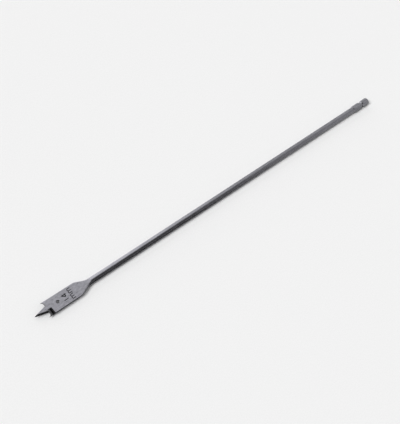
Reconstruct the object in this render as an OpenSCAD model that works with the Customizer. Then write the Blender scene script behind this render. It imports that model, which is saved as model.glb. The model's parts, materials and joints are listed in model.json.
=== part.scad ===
// Spade drill bit for boring wood: one forged steel piece.
// A flat blade with a ground cutting end runs through a forged neck into a long round shaft,
// which ends in a hexagonal shank with a snap groove. The bit turns clockwise seen from the shank.
// Frame: the bit lies at rest on a lower flat of its shank, +X runs from the tip to the shank,
// +Y across the blade and +Z up. The origin is on the resting surface, under mid-length.
// All sizes are in millimetres, and angles in degrees.

/* [Overall] */
// Length from the tip of the centre point to the end of the shank
overall_length = 400; // [250:1:600]
// Diameter of the hole that the bit bores, across the two outer edges of the blade
cut_diameter = 14; // [13:0.5:20]

/* [Blade] */
// Thickness of the flat blade
blade_thickness = 2.5; // [2:0.1:3]
// Length of the blade from the lips to the shoulder
blade_length = 30.7; // [25:0.1:45]
// How much narrower the blade is at the shoulder than at the lips
back_taper = 0.5; // [0.2:0.05:0.9]
// Diameter of the hole through the blade
hole_diameter = 3; // [2.4:0.1:4]
// Distance of the hole's centre behind the lips
hole_setback = 10.7; // [9:0.1:14]

/* [Centre point] */
// How far the tip stands ahead of the lips
point_length = 12.2; // [10:0.1:15]
// Width of the centre point where it meets the lips
point_width = 6; // [5:0.1:6.6]
// Width of the bevel ground along the leading side of the centre point
point_bevel_width = 1.25; // [0.8:0.05:1.6]
// Slope of that bevel from the blade's face
point_bevel_angle = 22; // [12:1:30]
// Length over which the tip is thinned from both faces
tip_length = 2.6; // [1.6:0.1:3.6]
// Thickness left at the very tip
tip_thickness = 0.4; // [0.2:0.05:0.8]

/* [Lips and spurs] */
// How far each spur stands ahead of the lips
spur_height = 2.2; // [1.6:0.1:2.5]
// Share of each lip that the foot of its spur takes up
spur_share = 0.75; // [0.66:0.01:0.9]
// Clearance angle of the ground lips, spurs and sides of the point
relief_angle = 12; // [6:1:18]
// Length of the hollow ground into the leading face behind each lip, from the lip to its back edge
hollow_length = 4; // [3.2:0.1:5]
// Depth of that hollow, half-way out along the lip
hollow_depth = 1.45; // [0.8:0.05:1.6]
// How far behind the lip the hollow is deepest
hollow_offset = 0.3; // [0.2:0.1:1.2]
// How much the hollow slopes down from the web outwards
hollow_tilt = 5; // [0:1:8]
// Width of the web left between the two hollows
web_width = 2.4; // [1.6:0.1:3.2]

/* [Neck] */
// Angle of the tapered shoulder to the axis
shoulder_angle = 22; // [18:1:30]
// Radius of the blend from the shoulder into the shaft
neck_radius = 16; // [8:0.5:22]
// Length of the ramp over which the blade thickens to the full shaft
ramp_length = 12.3; // [9:0.1:16]
// Distance of the start of the ramp behind the shoulder
ramp_setback = 1.6; // [0.8:0.1:4]
// Radius of the blend from the blade's face into the ramp
ramp_radius = 18; // [8:1:30]

/* [Shaft and shank] */
// Diameter of the round shaft
shaft_diameter = 5.6; // [5:0.1:6]
// Size of the hexagon across its flats
hex_flats = 6.35; // [6.25:0.05:8]
// Size of the hexagon across its rounded corners
hex_corners = 6.8; // [6.6:0.05:9]
// Length of the hexagonal shank
hex_length = 21; // [18:0.5:40]
// Angle of the cone that leads from the shaft up to the hexagon
hex_lead_angle = 35; // [25:1:50]
// Distance of the middle of the snap groove from the end of the shank
groove_setback = 9.5; // [8:0.1:11]
// Diameter at the bottom of the snap groove
groove_diameter = 4.8; // [4.4:0.1:5.2]
// Radius of the snap groove's section
groove_radius = 2.4; // [2:0.1:3]
// How much smaller than the flats the chamfered end face is, on the radius
end_chamfer = 0.5; // [0.3:0.05:0.9]

/* [Hidden] */
$fn = 96;
steel = [0.66, 0.67, 0.68];
// How far a cutting body runs past what it cuts
over = 2;
// How far the bodies that cut the front end start ahead of the tip
front = 2 * over;
// How far a rounding body overlaps the two faces that it blends, so that it crosses them
bite = 0.002;
cut_r = cut_diameter / 2;
back_r = cut_r - back_taper / 2;
shaft_r = shaft_diameter / 2;
face_z = blade_thickness / 2;
lip_x = point_length;
shoulder_x = lip_x + blade_length;
hole_x = lip_x + hole_setback;
// Slope of the point's two edges in plan
point_slope = point_width / 2 / point_length;
point_angle = atan(point_slope);
// Concave flank of a spur: tangent to the lip at its foot, and through the spur's tip
lip_width = cut_r - point_width / 2;
spur_foot = spur_share * lip_width;
flank_r = (pow(spur_foot, 2) + pow(spur_height, 2)) / (2 * spur_height);
// Half-way along the lip, the hollow is deepest at hollow_x and runs out hollow_reach behind that
hollow_x = lip_x + hollow_offset;
hollow_y = (cut_r + web_width / 2) / 2;
hollow_half = (cut_r - web_width / 2) / 2;
hollow_reach = hollow_length - hollow_offset;
hollow_radius = (pow(hollow_reach, 2) + pow(hollow_depth, 2)) / (2 * hollow_depth);
hollow_z = face_z - hollow_depth + hollow_radius;
// Shoulder line meets the shaft at neck_x, and the blend touches both lines neck_run from there
neck_x = shoulder_x + (back_r - shaft_r) / tan(shoulder_angle);
neck_run = neck_radius * tan(shoulder_angle / 2);
// Ramp from the blade's face up to the crown of the shaft
ramp_x = shoulder_x + ramp_setback;
ramp_angle = atan((shaft_r - face_z) / ramp_length);
ramp_run = ramp_radius * tan(ramp_angle / 2);
// Hexagonal shank
hex_x = overall_length - hex_length;
hex_rim_r = hex_corners / 2;
end_r = hex_flats / 2 - end_chamfer;
shaft_end_x = hex_x + over + (hex_rim_r - shaft_r) / tan(hex_lead_angle);

// Turns a profile of radius and distance from the tip into a body round the bit's axis
module turned() {
    rotate([90, 0, 90]) rotate_extrude() children();
}

// Puts a form on both sides of the bit, which is the same when it is turned half round its axis
module both_sides() {
    for (turn = [0, 180]) {
        rotate([turn, 0, 0]) children();
    }
}

// Section of the round bar with the head swelled to the cutting diameter, tapered shoulder and neck
module blank_profile() {
    difference() {
        polygon([
            [0, -over],
            [cut_r, -over],
            [cut_r, lip_x],
            [back_r, shoulder_x],
            [shaft_r + neck_run * sin(shoulder_angle), neck_x - neck_run * cos(shoulder_angle)],
            [shaft_r, neck_x + neck_run],
            [shaft_r, shaft_end_x],
            [0, shaft_end_x]
        ]);
        translate([shaft_r + neck_radius, neck_x + neck_run]) circle(neck_radius + bite);
    }
}

// What the forging die takes off the upper face: a flat land over the blade, then a ramp up to the shaft
module face_die() {
    ramp_end_x = ramp_x + ramp_length;
    ramp_rise = (ramp_length + over) * tan(ramp_angle);
    rotate([90, 0, 0]) linear_extrude(2 * (cut_r + over), center = true) union() {
        polygon([
            [-front, face_z],
            [ramp_x - ramp_run, face_z],
            [ramp_x + ramp_run * cos(ramp_angle), face_z + ramp_run * sin(ramp_angle)],
            [ramp_end_x + over, face_z + ramp_rise],
            [ramp_end_x + over, cut_r + over],
            [-front, cut_r + over]
        ]);
        intersection() {
            translate([ramp_x - ramp_run, face_z + ramp_radius]) circle(ramp_radius + bite);
            translate([ramp_x - 2 * ramp_run, 0]) square([4 * ramp_run, cut_r]);
        }
    }
}

// Space ahead of one lip, between the centre point and the spur, on the side of -Y.
// It is tilted by the relief angle, so the lip, spur and point fall away behind their leading edges.
module lip_notch() {
    squash = cos(relief_angle);
    lip_u = lip_x * squash;
    spur_u = (lip_x - spur_height) * squash;
    foot_y = cut_r - spur_foot;
    // How far the round flank runs on past its foot along the lip
    lap = 0.3;
    rotate([0, -relief_angle, 0]) linear_extrude(2 * (cut_r + over), center = true) union() {
        polygon([
            [-front * squash, front * point_slope],
            [lip_u, -point_width / 2],
            [lip_u, -foot_y],
            [spur_u, -cut_r],
            [spur_u, -cut_r - over],
            [-front * squash, -cut_r - over]
        ]);
        intersection() {
            translate([lip_u - flank_r, -foot_y]) circle(flank_r + bite);
            translate([lip_u - flank_r, -foot_y - flank_r - over]) {
                square([2 * flank_r, flank_r + over + lap]);
            }
        }
    }
}

// Hollow ground across the leading face behind one lip, from the web out past the blade's edge.
// It goes deeper outwards, and leaves the centre point whole.
module lip_hollow() {
    difference() {
        translate([hollow_x, -hollow_y, hollow_z]) rotate([90 + hollow_tilt, 0, 0]) {
            translate([0, 0, -hollow_half]) cylinder(r = hollow_radius, h = hollow_half + cut_r);
        }
        translate([-front, -point_width / 2, -cut_r]) cube([front + lip_x, point_width, 2 * cut_r]);
    }
}

// Bevel ground along the leading side of the centre point, parallel to its edge and clear of the spur.
// It runs out in the hollow.
module point_bevel() {
    // How far outside the point's edge the bevel's body starts
    clear = 0.5;
    bevel_length = point_length + hollow_length / 2;
    translate([0, 0, face_z]) rotate([0, 0, -point_angle]) translate([0, point_bevel_width, 0]) {
        rotate([point_bevel_angle, 0, 0]) {
            translate([-over, -point_bevel_width - clear, 0]) {
                cube([over + bevel_length, point_bevel_width + clear + over, face_z + over]);
            }
        }
    }
}

// Wedge that thins the tip from the upper face
module tip_bevel() {
    slope = (face_z - tip_thickness / 2) / tip_length;
    rotate([90, 0, 0]) linear_extrude(point_width, center = true) polygon([
        [-over, tip_thickness / 2 - over * slope],
        [tip_length + over, face_z + over * slope],
        [-over, face_z + over * slope]
    ]);
}

// Round hole through the blade
module blade_hole() {
    translate([hole_x, 0, 0]) cylinder(d = hole_diameter, h = shaft_diameter + over, center = true);
}

// Section that rounds off the hexagon: lead-in cone, rounded corners, snap groove and chamfered end
module shank_profile() {
    // How deep inside the shaft the cone starts
    sink = 0.5;
    cone_x = hex_x - sink / tan(hex_lead_angle);
    difference() {
        polygon([
            [0, cone_x],
            [shaft_r - sink, cone_x],
            [hex_rim_r, hex_x + (hex_rim_r - shaft_r) / tan(hex_lead_angle)],
            [hex_rim_r, overall_length - (hex_rim_r - end_r)],
            [end_r, overall_length],
            [0, overall_length]
        ]);
        translate([groove_diameter / 2 + groove_radius, overall_length - groove_setback]) {
            circle(groove_radius);
        }
    }
}

// Hexagonal shank, with two of its flats level with the blade's faces
module hex_shank() {
    intersection() {
        turned() shank_profile();
        translate([hex_x - over, 0, 0]) rotate([90, 0, 90]) {
            cylinder(d = hex_flats / cos(30), h = hex_length + 2 * over, $fn = 6);
        }
    }
}

// Blade, neck and shaft: the forged blank with its cutting end ground
module forged_bar() {
    difference() {
        turned() blank_profile();
        both_sides() face_die();
        both_sides() lip_notch();
        both_sides() lip_hollow();
        both_sides() point_bevel();
        both_sides() tip_bevel();
        blade_hole();
    }
}

// The whole bit, lying on its shank
module spade_bit() {
    color(steel) translate([-overall_length / 2, 0, hex_flats / 2]) union() {
        forged_bar();
        hex_shank();
    }
}

spade_bit();
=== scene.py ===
import json
import math

import bmesh
import bpy
from mathutils import Matrix, Vector


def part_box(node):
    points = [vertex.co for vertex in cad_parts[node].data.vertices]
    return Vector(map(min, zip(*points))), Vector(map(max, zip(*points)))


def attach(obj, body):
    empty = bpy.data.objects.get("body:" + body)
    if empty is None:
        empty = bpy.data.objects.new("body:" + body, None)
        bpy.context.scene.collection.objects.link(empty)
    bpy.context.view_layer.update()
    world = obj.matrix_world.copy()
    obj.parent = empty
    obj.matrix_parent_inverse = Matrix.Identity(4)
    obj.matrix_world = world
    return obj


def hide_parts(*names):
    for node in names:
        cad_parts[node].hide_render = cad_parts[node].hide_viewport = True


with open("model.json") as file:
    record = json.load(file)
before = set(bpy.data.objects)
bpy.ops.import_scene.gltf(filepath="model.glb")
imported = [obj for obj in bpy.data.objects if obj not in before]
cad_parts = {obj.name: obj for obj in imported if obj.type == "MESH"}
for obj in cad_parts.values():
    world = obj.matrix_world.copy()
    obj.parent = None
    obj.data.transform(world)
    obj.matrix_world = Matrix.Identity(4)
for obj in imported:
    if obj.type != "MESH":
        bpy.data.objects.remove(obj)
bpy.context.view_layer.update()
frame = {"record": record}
low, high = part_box("spade_bit")
mounts = {mount["name"]: mount for mount in frame["record"]["mounts"]}

# Sizes are in millimetres: x from the tip along the axis, y across the blade, z up from the axis
MM = 0.001
LENGTH = (high[0] - low[0]) / MM
CUT_R = (high[1] - low[1]) / 2 / MM
HEX_FLATS = (high[2] - low[2]) / MM
HOLE_X = (mounts["blade_hole"]["pos_m"][0] - low[0]) / MM
HOLE_R = mounts["blade_hole"]["dims"]["r_mm"]
FACE_Z = mounts["blade_hole"]["dims"]["length_mm"] / 2
HEX_LENGTH = mounts["hex_shank"]["dims"]["length_mm"]
TO_ROW = Matrix.Translation((low[0], 0, (low[2] + high[2]) / 2)) @ Matrix.Scale(MM, 4)
HALF_TURN = Matrix.Rotation(math.pi, 4, "X")

# Blade, centre point, lips and spurs
LIP_X = 12.2
BLADE_LENGTH = 30.7
BACK_CLEARANCE = 0.25
EDGE_ROUND = 0.22
POINT_HALF = 3.0
BEVEL_WIDTH = 1.25
BEVEL_ANGLE = math.radians(22)
TIP_LENGTH = 2.6
TIP_HALF = 0.2
SPUR_HEIGHT = 2.2
SPUR_FOOT = 3.0
RELIEF = math.radians(12)
HOLLOW_LENGTH = 4.0
HOLLOW_DEPTH = 1.45
HOLLOW_OFFSET = 0.3
HOLLOW_TILT = math.radians(5)
WEB_HALF = 1.2
HOLE_EDGE = 0.15

# Shoulder, neck, shaft and shank
SHAFT_R = 2.8
SHOULDER_ANGLE = math.radians(22)
NECK_R = 16.0
RAMP_OFFSET = 1.6
RAMP_LENGTH = 12.3
RAMP_R = 18.0
HEX_RIM_R = 3.4
LEAD_ANGLE = math.radians(35)
GROOVE_FROM_END = 9.5
GROOVE_BOTTOM_R = 2.4
GROOVE_R = 2.4
END_CHAMFER = 0.5

# Stamped size mark: its top faces the tip
STROKE_R = 0.36
BOLD_R = 0.46
STROKE_DEPTH = 0.28
DIGIT_FOOT_X = 32.3
DIGIT_HEIGHT = 4.3
UNIT_FOOT_X = 37.8
UNIT_HEIGHT = 3.0

# Worked out from the sizes above
SHOULDER_X = LIP_X + BLADE_LENGTH
BACK_R = CUT_R - BACK_CLEARANCE
HEX_X = LENGTH - HEX_LENGTH
GROOVE_X = LENGTH - GROOVE_FROM_END
END_R = HEX_FLATS / 2 - END_CHAMFER
NECK_X = SHOULDER_X + (BACK_R - SHAFT_R) / math.tan(SHOULDER_ANGLE)
NECK_RUN = NECK_R * math.tan(SHOULDER_ANGLE / 2)
RAMP_X = SHOULDER_X + RAMP_OFFSET
RAMP_ANGLE = math.atan2(SHAFT_R - FACE_Z, RAMP_LENGTH)
RAMP_RUN = RAMP_R * math.tan(RAMP_ANGLE / 2)
RAMP_END_X = RAMP_X + RAMP_LENGTH

# Fineness of the mesh: steps in a quarter of a ring, round a turned body, and along an arch of the mark
FLAT_STEPS = 4
EDGE_STEPS = 4
SIDE_STEPS = 16
TURN_STEPS = 128
ARCH_STEPS = 12
STROKE_FINENESS = 4
HEX_SIDES = 6

# How far cutting bodies run past what they cut, and ahead of the tip
OVER = 2.0
FRONT = 2 * OVER

# Seams closer than this are welded, and edges sharper than this stay sharp
WELD = 0.0001
SHARP_ANGLE = math.radians(17)

# Half angle of the narrow flat where the ramp runs out, and of the edge beside it
CROWN = math.radians(10)
CROWN_EDGE = math.radians(16)

# Finish of the surfaces: scales of the noises along, across and up, and the used part of their range
GRAIN_SCALE = (2600, 2600, 2600)
DRAWN_SCALE = (60, 3200, 3200)
CLOUD_SCALE = (330, 620, 620)
GRINDING_SCALE = (120, 4200, 900)
FIBRE_SCALE = (900, 900, 900)
NOISE_LOW, NOISE_HIGH = 0.34, 0.66

# Length over which the blade's finish goes over into the shaft's
BLEND_LENGTH = 4.0


# Materials

def new_material(name, color, metallic, roughness):
    """Material and its shader, with the values that hold where no noise takes over."""
    material = bpy.data.materials.new(name)
    material.use_nodes = True
    shader = material.node_tree.nodes["Principled BSDF"]
    shader.inputs["Base Color"].default_value = (*color, 1)
    shader.inputs["Metallic"].default_value = metallic
    shader.inputs["Roughness"].default_value = roughness
    return material, shader


def noise(material, scale, detail):
    """Noise in the bit's own coordinates, with its own scale along, across and up."""
    nodes, links = material.node_tree.nodes, material.node_tree.links
    place = nodes.new("ShaderNodeTexCoord")
    mapping = nodes.new("ShaderNodeMapping")
    mapping.inputs["Scale"].default_value = scale
    texture = nodes.new("ShaderNodeTexNoise")
    texture.inputs["Scale"].default_value = 1
    texture.inputs["Detail"].default_value = detail
    links.new(place.outputs["Object"], mapping.inputs["Vector"])
    links.new(mapping.outputs["Vector"], texture.inputs["Vector"])
    return texture.outputs["Fac"]


def spread(material, value, to_low, to_high):
    """Maps the middle range of a noise onto a range of numbers."""
    nodes, links = material.node_tree.nodes, material.node_tree.links
    node = nodes.new("ShaderNodeMapRange")
    node.inputs["From Min"].default_value = NOISE_LOW
    node.inputs["From Max"].default_value = NOISE_HIGH
    node.inputs["To Min"].default_value = to_low
    node.inputs["To Max"].default_value = to_high
    links.new(value, node.inputs["Value"])
    return node.outputs["Result"]


def tint(material, value, dark, light):
    """Maps the middle range of a noise onto a range of colours."""
    nodes, links = material.node_tree.nodes, material.node_tree.links
    ramp = nodes.new("ShaderNodeValToRGB")
    ramp.color_ramp.elements[0].position = NOISE_LOW
    ramp.color_ramp.elements[0].color = (*dark, 1)
    ramp.color_ramp.elements[1].position = NOISE_HIGH
    ramp.color_ramp.elements[1].color = (*light, 1)
    links.new(value, ramp.inputs["Fac"])
    return ramp.outputs["Color"]


def mean(material, first, second):
    """Half the sum of two noises."""
    nodes, links = material.node_tree.nodes, material.node_tree.links
    total = nodes.new("ShaderNodeMath")
    total.operation = "ADD"
    half = nodes.new("ShaderNodeMath")
    half.operation = "MULTIPLY"
    half.inputs[1].default_value = 0.5
    links.new(first, total.inputs[0])
    links.new(second, total.inputs[1])
    links.new(total.outputs[0], half.inputs[0])
    return half.outputs[0]


def from_blade_to_shaft(material, blade, shaft):
    """Goes over from a value on the blade to one on the shaft, at the end of the ramp."""
    nodes, links = material.node_tree.nodes, material.node_tree.links
    place = nodes.new("ShaderNodeTexCoord")
    parts = nodes.new("ShaderNodeSeparateXYZ")
    share = nodes.new("ShaderNodeMapRange")
    share.inputs["From Min"].default_value = low[0] + (RAMP_END_X - BLEND_LENGTH) * MM
    share.inputs["From Max"].default_value = low[0] + RAMP_END_X * MM
    mix = nodes.new("ShaderNodeMix")
    links.new(place.outputs["Object"], parts.inputs["Vector"])
    links.new(parts.outputs["X"], share.inputs["Value"])
    links.new(share.outputs["Result"], mix.inputs["Factor"])
    links.new(blade, mix.inputs["A"])
    links.new(shaft, mix.inputs["B"])
    return mix.outputs["Result"]


def bump(material, shader, height, depth, strength):
    """Fine relief of the surface, depth in metres."""
    nodes, links = material.node_tree.nodes, material.node_tree.links
    node = nodes.new("ShaderNodeBump")
    node.inputs["Strength"].default_value = strength
    node.inputs["Distance"].default_value = depth
    links.new(height, node.inputs["Height"])
    links.new(node.outputs["Normal"], shader.inputs["Normal"])


def satin_steel():
    """Forged steel: a finely blasted blade with a cloudy tone, and a smoother shaft with drawn lines."""
    material, shader = new_material("satin_steel", (0.5, 0.5, 0.51), metallic=0.95, roughness=0.36)
    links = material.node_tree.links
    grain = noise(material, GRAIN_SCALE, detail=2)
    drawn = noise(material, DRAWN_SCALE, detail=2)
    cloud = noise(material, CLOUD_SCALE, detail=2)
    fine = mean(material, grain, drawn)
    blade_tone = mean(material, cloud, mean(material, cloud, fine))
    shaft_tone = mean(material, drawn, mean(material, drawn, cloud))
    tone = from_blade_to_shaft(material, blade_tone, shaft_tone)
    color = tint(material, tone, dark=(0.348, 0.346, 0.38), light=(0.562, 0.559, 0.61))
    links.new(color, shader.inputs["Base Color"])
    blade_roughness = spread(material, blade_tone, to_low=0.27, to_high=0.38)
    shaft_roughness = spread(material, shaft_tone, to_low=0.17, to_high=0.26)
    roughness = from_blade_to_shaft(material, blade_roughness, shaft_roughness)
    links.new(roughness, shader.inputs["Roughness"])
    bump(material, shader, fine, depth=0.00003, strength=0.35)
    return material


def ground_steel():
    """Ground faces of the cutting end, with fine lines along the wheel's path."""
    material, shader = new_material("ground_steel", (0.42, 0.42, 0.43), metallic=1, roughness=0.26)
    links = material.node_tree.links
    lines = noise(material, GRINDING_SCALE, detail=2)
    color = tint(material, lines, dark=(0.17, 0.17, 0.178), light=(0.27, 0.27, 0.281))
    links.new(color, shader.inputs["Base Color"])
    roughness = spread(material, lines, to_low=0.16, to_high=0.26)
    links.new(roughness, shader.inputs["Roughness"])
    bump(material, shader, lines, depth=0.00002, strength=0.3)
    return material


def stamped_shade_steel():
    """Floor of the stamped mark, coloured nearly black as painted shade in the grooves, and rough."""
    material, shader = new_material("stamped_shade_steel", (0.09, 0.09, 0.095), metallic=0.7, roughness=0.6)
    links = material.node_tree.links
    grain = noise(material, GRAIN_SCALE, detail=2)
    # Nearly black base colour: painted shade in the stamped grooves, with a faint grain
    color = tint(material, grain, dark=(0.025, 0.025, 0.027), light=(0.06, 0.06, 0.063))
    links.new(color, shader.inputs["Base Color"])
    roughness = spread(material, grain, to_low=0.5, to_high=0.7)
    links.new(roughness, shader.inputs["Roughness"])
    return material


def floor_paper():
    """Pale paper with a faint fibre."""
    material, shader = new_material("floor_paper", (0.86, 0.86, 0.86), metallic=0, roughness=0.9)
    links = material.node_tree.links
    fibre = noise(material, FIBRE_SCALE, detail=3)
    color = tint(material, fibre, dark=(0.85, 0.85, 0.85), light=(0.88, 0.88, 0.88))
    links.new(color, shader.inputs["Base Color"])
    return material


# Meshes, in millimetres

def closed_piece(name, mesh, material):
    """Object of a mesh whose seams are welded and whose faces all look outwards."""
    work = bmesh.new()
    work.from_mesh(mesh)
    bmesh.ops.remove_doubles(work, verts=work.verts, dist=WELD)
    bmesh.ops.recalc_face_normals(work, faces=work.faces)
    work.to_mesh(mesh)
    work.free()
    mesh.materials.clear()
    mesh.materials.append(material)
    piece = bpy.data.objects.new(name, mesh)
    bpy.context.collection.objects.link(piece)
    return piece


def solid(name, points, faces, material):
    """Object of points and faces."""
    mesh = bpy.data.meshes.new(name)
    mesh.from_pydata([tuple(point) for point in points], [], faces)
    return closed_piece(name, mesh, material)


def skin(name, rings, material):
    """Closed solid through rings that all have the same number of points."""
    count = len(rings[0])
    points = [point for ring in rings for point in ring]
    faces = [tuple(range(count)), tuple(range(len(points) - count, len(points)))]
    for ring in range(len(rings) - 1):
        first = ring * count
        for i in range(count):
            j = (i + 1) % count
            faces.append((first + i, first + j, first + count + j, first + count + i))
    return solid(name, points, faces, material)


def prism(name, outline, start, end, material):
    """Closed solid between two copies of an outline, each moved by a matrix."""
    rings = [[move @ Vector(point) for point in outline] for move in (start, end)]
    return skin(name, rings, material)


def turned(name, profile, material):
    """Solid turned round the bit's axis from (x, radius) points, of which no radius is zero."""
    rings = []
    for x, radius in profile:
        angles = [math.tau * i / TURN_STEPS for i in range(TURN_STEPS)]
        rings.append([(x, radius * math.cos(angle), radius * math.sin(angle)) for angle in angles])
    return skin(name, rings, material)


def arc(start, end, steps):
    """Angles from start to end, both included."""
    return [start + (end - start) * i / steps for i in range(steps + 1)]


def combine(piece, others, operation):
    """Cuts the other solids from the piece or joins them to it, and deletes them."""
    for other in others:
        step = piece.modifiers.new("step", "BOOLEAN")
        step.operation = operation
        step.solver = "EXACT"
        step.material_mode = "TRANSFER"
        step.object = other
    result = bpy.data.meshes.new_from_object(piece.evaluated_get(bpy.context.evaluated_depsgraph_get()))
    piece.modifiers.clear()
    piece.data = result
    for other in others:
        bpy.data.objects.remove(other)


def on_both_sides(make):
    """A cutting body and its copy turned half round the axis."""
    first, second = make(), make()
    second.data.transform(HALF_TURN)
    return [first, second]


# Blade, neck and shaft

def outer_radius(x):
    """Radius of the forged blank at x: head, tapered shoulder, neck and shaft."""
    if x <= LIP_X:
        return CUT_R
    if x <= SHOULDER_X:
        return CUT_R + (BACK_R - CUT_R) * (x - LIP_X) / (SHOULDER_X - LIP_X)
    if x <= NECK_X - NECK_RUN * math.cos(SHOULDER_ANGLE):
        return BACK_R - (x - SHOULDER_X) * math.tan(SHOULDER_ANGLE)
    if x <= NECK_X + NECK_RUN:
        return SHAFT_R + NECK_R - math.sqrt(NECK_R ** 2 - (NECK_X + NECK_RUN - x) ** 2)
    return SHAFT_R


def half_thickness(x):
    """Height of the upper face above the axis at x: flat blade, then the ramp up to the shaft."""
    if x <= RAMP_X - RAMP_RUN:
        return FACE_Z
    if x <= RAMP_X + RAMP_RUN * math.cos(RAMP_ANGLE):
        return FACE_Z + RAMP_R - math.sqrt(RAMP_R ** 2 - (x - RAMP_X + RAMP_RUN) ** 2)
    return FACE_Z + (x - RAMP_X) * math.tan(RAMP_ANGLE)


def quarter_section(radius, half):
    """Points (y, z) from the middle of the upper face round to the side, over the rounded edge."""
    flat_y = 0
    if half < radius:
        flat_y = math.sqrt((radius - EDGE_ROUND) ** 2 - (half - EDGE_ROUND) ** 2)
    points = []
    if flat_y < half * math.tan(CROWN):
        top, edge = math.pi / 2, math.pi / 2 - CROWN
        angles = arc(top, edge, FLAT_STEPS) + arc(edge, top - CROWN_EDGE, EDGE_STEPS)[1:]
        angles += arc(top - CROWN_EDGE, 0, SIDE_STEPS)[1:]
        for angle in angles:
            reach = min(radius, half / max(math.sin(angle), half / radius / 2))
            points.append((reach * math.cos(angle), reach * math.sin(angle)))
        return points
    side = math.atan2(half - EDGE_ROUND, flat_y)
    for i in range(FLAT_STEPS):
        points.append((flat_y * i / FLAT_STEPS, half))
    for angle in arc(math.pi / 2, side, EDGE_STEPS)[:-1]:
        y = flat_y + EDGE_ROUND * math.cos(angle)
        z = half - EDGE_ROUND + EDGE_ROUND * math.sin(angle)
        points.append((y, z))
    for angle in arc(side, 0, SIDE_STEPS):
        points.append((radius * math.cos(angle), radius * math.sin(angle)))
    return points


def section(x):
    """Whole ring at x: the quarter and its three mirror images."""
    quarter = quarter_section(outer_radius(x), half_thickness(x))
    right = quarter + [(y, -z) for y, z in quarter[-2::-1]]
    ring = right + [(-y, z) for y, z in right[-2:0:-1]]
    return [(x, y, z) for y, z in ring]


def stations():
    """Places of the rings along the forged bar: close where it bends, far apart where it is straight."""
    fine_step, coarse_step, spare = 0.4, 20, 1
    bend_end = math.ceil(max(NECK_X + NECK_RUN, RAMP_END_X)) + spare
    fine_count = round((bend_end - SHOULDER_X) / fine_step)
    shaft_end = HEX_X + OVER
    coarse_count = round((shaft_end - bend_end) / coarse_step)
    places = [-OVER, LIP_X]
    places += arc(SHOULDER_X, bend_end, fine_count)
    places += arc(bend_end, shaft_end, coarse_count)[1:]
    return places


def lip_notch():
    """Space ahead of one lip, between the centre point and the spur, tilted by the relief angle."""
    squash = math.cos(RELIEF)
    foot_y = CUT_R - SPUR_FOOT
    flank_r = (SPUR_FOOT ** 2 + SPUR_HEIGHT ** 2) / (2 * SPUR_HEIGHT)
    slope = POINT_HALF / LIP_X
    outline = [(-FRONT * squash, FRONT * slope, 0), (LIP_X * squash, -POINT_HALF, 0)]
    for angle in arc(0, math.asin(SPUR_FOOT / flank_r), 2 * SIDE_STEPS):
        drop = flank_r * (1 - math.cos(angle))
        outline.append(((LIP_X - drop) * squash, -foot_y - flank_r * math.sin(angle), 0))
    outline.append(((LIP_X - SPUR_HEIGHT) * squash, -CUT_R - OVER, 0))
    outline.append((-FRONT * squash, -CUT_R - OVER, 0))
    tilt = Matrix.Rotation(-RELIEF, 4, "Y")
    depth = CUT_R + OVER
    ends = [tilt @ Matrix.Translation((0, 0, z)) for z in (-depth, depth)]
    return prism("notch", outline, *ends, GROUND)


def lip_hollow():
    """Round hollow in the leading face behind one lip, deeper outwards and clear of the point."""
    reach = HOLLOW_LENGTH - HOLLOW_OFFSET
    center_x = LIP_X + HOLLOW_OFFSET
    radius = (reach ** 2 + HOLLOW_DEPTH ** 2) / (2 * HOLLOW_DEPTH)
    center_z = FACE_Z - HOLLOW_DEPTH + radius
    middle_y = -(WEB_HALF + CUT_R) / 2
    outline = []
    for angle in arc(0, math.tau, 2 * TURN_STEPS)[:-1]:
        outline.append((center_x + radius * math.cos(angle), 0, radius * math.sin(angle)))
    place = Matrix.Translation((0, middle_y, center_z)) @ Matrix.Rotation(HOLLOW_TILT, 4, "X")
    ends = [place @ Matrix.Translation((0, y, 0)) for y in (-WEB_HALF - middle_y, -CUT_R)]
    hollow = prism("hollow", outline, *ends, GROUND)
    point = [(-FRONT, OVER, 0), (LIP_X, OVER, 0), (LIP_X, -POINT_HALF, 0), (-FRONT, -POINT_HALF, 0)]
    ends = [Matrix.Translation((0, 0, z)) for z in (-CUT_R, CUT_R)]
    combine(hollow, [prism("point", point, *ends, GROUND)], "DIFFERENCE")
    return hollow


def point_bevel():
    """Bevel along the leading side of the centre point, which runs out in the hollow."""
    clear = 0.5
    back = -BEVEL_WIDTH - clear
    outline = [(0, back, 0), (0, OVER, 0), (0, OVER, OVER), (0, back, OVER)]
    place = Matrix.Translation((0, 0, FACE_Z)) @ Matrix.Rotation(-math.atan2(POINT_HALF, LIP_X), 4, "Z")
    place = place @ Matrix.Translation((0, BEVEL_WIDTH, 0)) @ Matrix.Rotation(BEVEL_ANGLE, 4, "X")
    start = place @ Matrix.Translation((-OVER, 0, 0))
    end = place @ Matrix.Translation((LIP_X + HOLLOW_LENGTH / 2, 0, 0))
    return prism("bevel", outline, start, end, GROUND)


def tip_bevel():
    """Wedge that thins the tip from the upper face."""
    slope = (FACE_Z - TIP_HALF) / TIP_LENGTH
    top = FACE_Z + OVER * slope
    outline = [(-OVER, 0, TIP_HALF - OVER * slope), (TIP_LENGTH + OVER, 0, top), (-OVER, 0, top)]
    start = Matrix.Translation((0, -POINT_HALF, 0))
    end = Matrix.Translation((0, POINT_HALF, 0))
    return prism("tip", outline, start, end, GROUND)


def blade_hole():
    """Hole through the blade, with its two edges broken."""
    widths = [
        (-FACE_Z - OVER, HOLE_R + HOLE_EDGE + OVER),
        (HOLE_EDGE - FACE_Z, HOLE_R),
        (FACE_Z - HOLE_EDGE, HOLE_R),
        (FACE_Z + OVER, HOLE_R + HOLE_EDGE + OVER),
    ]
    rings = []
    for z, radius in widths:
        ring = []
        for angle in arc(0, math.tau, TURN_STEPS)[:-1]:
            ring.append((HOLE_X + radius * math.cos(angle), radius * math.sin(angle), z))
        rings.append(ring)
    return skin("hole", rings, STEEL)


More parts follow.
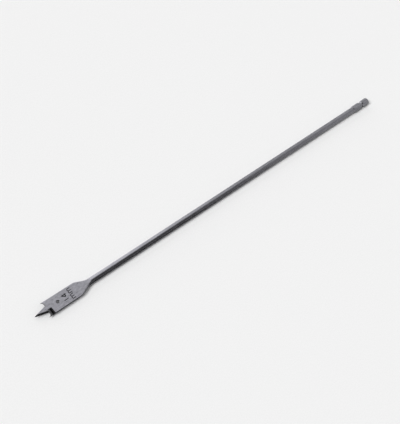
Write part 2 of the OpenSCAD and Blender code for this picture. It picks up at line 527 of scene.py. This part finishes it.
def stroke(foot_x, points, radius=STROKE_R):
    """Round-bottomed groove along points (right, up) of a sign whose foot is at foot_x."""
    line = bpy.data.curves.new("stroke", "CURVE")
    line.dimensions = "3D"
    line.bevel_depth = radius
    line.bevel_resolution = STROKE_FINENESS
    line.use_fill_caps = True
    path = line.splines.new("POLY")
    path.points.add(len(points) - 1)
    for point, (right, up) in zip(path.points, points):
        point.co = (foot_x - up, right, FACE_Z + radius - STROKE_DEPTH, 1)
    guide = bpy.data.objects.new("stroke", line)
    bpy.context.collection.objects.link(guide)
    mesh = bpy.data.meshes.new_from_object(guide.evaluated_get(bpy.context.evaluated_depsgraph_get()))
    bpy.data.objects.remove(guide)
    return closed_piece("stroke", mesh, STAMPED_SHADE)


def unit_letter(left):
    """Strokes of a small m: a stem and two arches."""
    arch_r = 1.05
    spring = UNIT_HEIGHT - arch_r
    paths = [[(left, 0), (left, UNIT_HEIGHT)]]
    for number in range(2):
        middle = left + arch_r * (2 * number + 1)
        path = []
        for angle in arc(0, math.pi, ARCH_STEPS):
            path.append((middle - arch_r * math.cos(angle), spring + arch_r * math.sin(angle)))
        paths.append(path + [(middle + arch_r, 0)])
    return [stroke(UNIT_FOOT_X, path) for path in paths]


def size_mark():
    """The bit's width, 14 mm, in plain strokes."""
    one_y = -2.4
    four_left, four_stem, four_right, four_bar = 0.0, 2.2, 3.1, 1.1
    unit_lefts = [-4.9, 0.7]
    top = DIGIT_HEIGHT
    four_lines = [
        [(four_stem, 0), (four_stem, top)],
        [(four_stem, top), (four_left, four_bar)],
        [(four_left, four_bar), (four_right, four_bar)],
    ]
    strokes = [stroke(DIGIT_FOOT_X, [(one_y, 0), (one_y, top)])]
    strokes += [stroke(DIGIT_FOOT_X, line, BOLD_R) for line in four_lines]
    for left in unit_lefts:
        strokes += unit_letter(left)
    return strokes


def hex_shank():
    """Hexagon met with a turned body: lead-in cone, snap groove and chamfered end."""
    sink = 0.5
    groove_center_r = GROOVE_BOTTOM_R + GROOVE_R
    half_groove = math.acos((groove_center_r - HEX_RIM_R) / GROOVE_R)
    profile = [
        (HEX_X - sink / math.tan(LEAD_ANGLE), SHAFT_R - sink),
        (HEX_X + (HEX_RIM_R - SHAFT_R) / math.tan(LEAD_ANGLE), HEX_RIM_R),
    ]
    for angle in arc(-half_groove, half_groove, SIDE_STEPS):
        radius = groove_center_r - GROOVE_R * math.cos(angle)
        profile.append((GROOVE_X + GROOVE_R * math.sin(angle), radius))
    profile += [(LENGTH - HEX_RIM_R + END_R, HEX_RIM_R), (LENGTH, END_R)]
    shank = turned("shank", profile, STEEL)
    corner_r = HEX_FLATS / 2 / math.cos(math.pi / HEX_SIDES)
    corners = arc(0, math.tau, HEX_SIDES)[:-1]
    outline = [(0, corner_r * math.cos(angle), corner_r * math.sin(angle)) for angle in corners]
    ends = [Matrix.Translation((x, 0, 0)) for x in (HEX_X - OVER, LENGTH + OVER)]
    combine(shank, [prism("hexagon", outline, *ends, STEEL)], "INTERSECT")
    return shank


def spade_bit():
    """The whole bit in one mesh, in the row's frame."""
    piece = skin("spade_bit_steel", [section(x) for x in stations()], STEEL)
    cuts = []
    for make in (lip_notch, lip_hollow, point_bevel, tip_bevel):
        cuts += on_both_sides(make)
    combine(piece, cuts + [blade_hole()] + size_mark(), "DIFFERENCE")
    combine(piece, [hex_shank()], "UNION")
    piece.data.transform(TO_ROW)
    piece.data.shade_smooth()
    piece.data.set_sharp_from_angle(angle=SHARP_ANGLE)
    normals = piece.modifiers.new("normals", "WEIGHTED_NORMAL")
    normals.keep_sharp = True
    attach(piece, "root")
    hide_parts("spade_bit")


# Floor, light and camera

def falloff(tree, direction, levels):
    """Brightness over one part of a direction, from -1 to 1, by levels at places between."""
    nodes, links = tree.nodes, tree.links
    share = nodes.new("ShaderNodeMapRange")
    share.inputs["From Min"].default_value = -1
    ramp = nodes.new("ShaderNodeValToRGB")
    ramp.color_ramp.interpolation = "EASE"
    while len(ramp.color_ramp.elements) < len(levels):
        ramp.color_ramp.elements.new(1)
    for element, (place, level) in zip(ramp.color_ramp.elements, levels):
        element.position = (place + 1) / 2
        element.color = (level, level, level, 1)
    links.new(direction, share.inputs["Value"])
    links.new(share.outputs["Result"], ramp.inputs["Fac"])
    return ramp.outputs["Color"]


def light_math(tree, operation, first, second):
    """Sum or product of two lights."""
    node = tree.nodes.new("ShaderNodeVectorMath")
    node.operation = operation
    tree.links.new(first, node.inputs[0])
    tree.links.new(second, node.inputs[1])
    return node.outputs["Vector"]


def soft_sky():
    """Soft light overhead on the far side, panels ahead of the tip, fills at the ends, and a horizon.

    Each list gives (place, level) pairs over one part of a direction.
    """
    along = [(-0.36, 0.02), (-0.06, 1.0), (0.25, 1.0), (0.55, 0.08)]
    across = [(-0.11, 0.02), (0.34, 1.0)]
    ahead = [(-0.22, 1.0), (0.14, 0.0)]
    beside = [(-0.72, 0.4), (-0.3, 0.0), (0.25, 0.0), (0.6, 0.4)]
    fill = [(-0.97, 0.2), (-0.75, 0.0), (0.38, 0.0), (0.6, 0.34), (0.75, 0.47), (0.88, 0.9)]
    horizon = [(-0.022, 0.0), (-0.01, 0.86), (0.003, 0.86), (0.012, 0.03), (0.5, 0.03), (0.76, 0.0)]
    world = bpy.data.worlds.new("studio")
    world.use_nodes = True
    tree = world.node_tree
    place = tree.nodes.new("ShaderNodeTexCoord")
    parts = tree.nodes.new("ShaderNodeSeparateXYZ")
    tree.links.new(place.outputs["Generated"], parts.inputs["Vector"])
    x, y, z = (parts.outputs[axis] for axis in "XYZ")
    sky = light_math(tree, "ADD", falloff(tree, x, fill), falloff(tree, z, horizon))
    for over_x, over_y in ((along, across), (ahead, beside)):
        panel = light_math(tree, "MULTIPLY", falloff(tree, x, over_x), falloff(tree, y, over_y))
        sky = light_math(tree, "ADD", sky, panel)
    tree.links.new(sky, tree.nodes["Background"].inputs["Color"])
    bpy.context.scene.world = world


def lamp(name, energy, angle, travel):
    """Lamp far away, angle degrees wide, whose light travels along a direction."""
    data = bpy.data.lights.new(name, "SUN")
    data.energy = energy
    data.angle = math.radians(angle)
    light = bpy.data.objects.new(name, data)
    light.rotation_euler = Vector(travel).to_track_quat("-Z", "Y").to_euler()
    bpy.context.collection.objects.link(light)
    return light


def studio():
    """Wide pale floor just under the bit, in metres, and the lights."""
    half, gap = 40, 0.00005
    corners = [(-half, -half, -gap), (half, -half, -gap), (half, half, -gap), (-half, half, -gap)]
    floor = solid("floor", corners, [(0, 1, 2, 3)], floor_paper())
    floor.visible_glossy = False
    soft_sky()
    floor_light = lamp("floor_light", energy=2.7, angle=26, travel=(0.62, -0.18, -0.76))
    floor_light.visible_glossy = False
    bpy.context.scene.view_settings.view_transform = "Standard"


def camera():
    """The photograph's own view: where it looks, from how far, and how it is rolled."""
    image_height, focal_pixels, sensor = 424, 806.83, 36
    elevation, azimuth, roll = (math.radians(angle) for angle in (63.041, 28.620, 25.344))
    target = TO_ROW @ Vector((176.39, -2.06, 0))
    distance, nearest = 736.03 * MM, 10 * MM
    forward = Vector((math.cos(azimuth), math.sin(azimuth), 0)) * math.cos(elevation)
    forward.z = -math.sin(elevation)
    level = Vector((math.sin(azimuth), -math.cos(azimuth), 0))
    upright = level.cross(forward)
    right = level * math.cos(roll) + upright * math.sin(roll)
    up = upright * math.cos(roll) - level * math.sin(roll)
    view = bpy.data.cameras.new("camera")
    view.sensor_width = sensor
    view.lens = focal_pixels / image_height * sensor
    view.clip_start = nearest
    eye = bpy.data.objects.new("camera", view)
    turn = Matrix((right, up, -forward)).transposed().to_4x4()
    eye.matrix_world = Matrix.Translation(target - forward * distance) @ turn
    bpy.context.collection.objects.link(eye)
    bpy.context.scene.camera = eye


STEEL = satin_steel()
GROUND = ground_steel()
STAMPED_SHADE = stamped_shade_steel()
spade_bit()
studio()
camera()
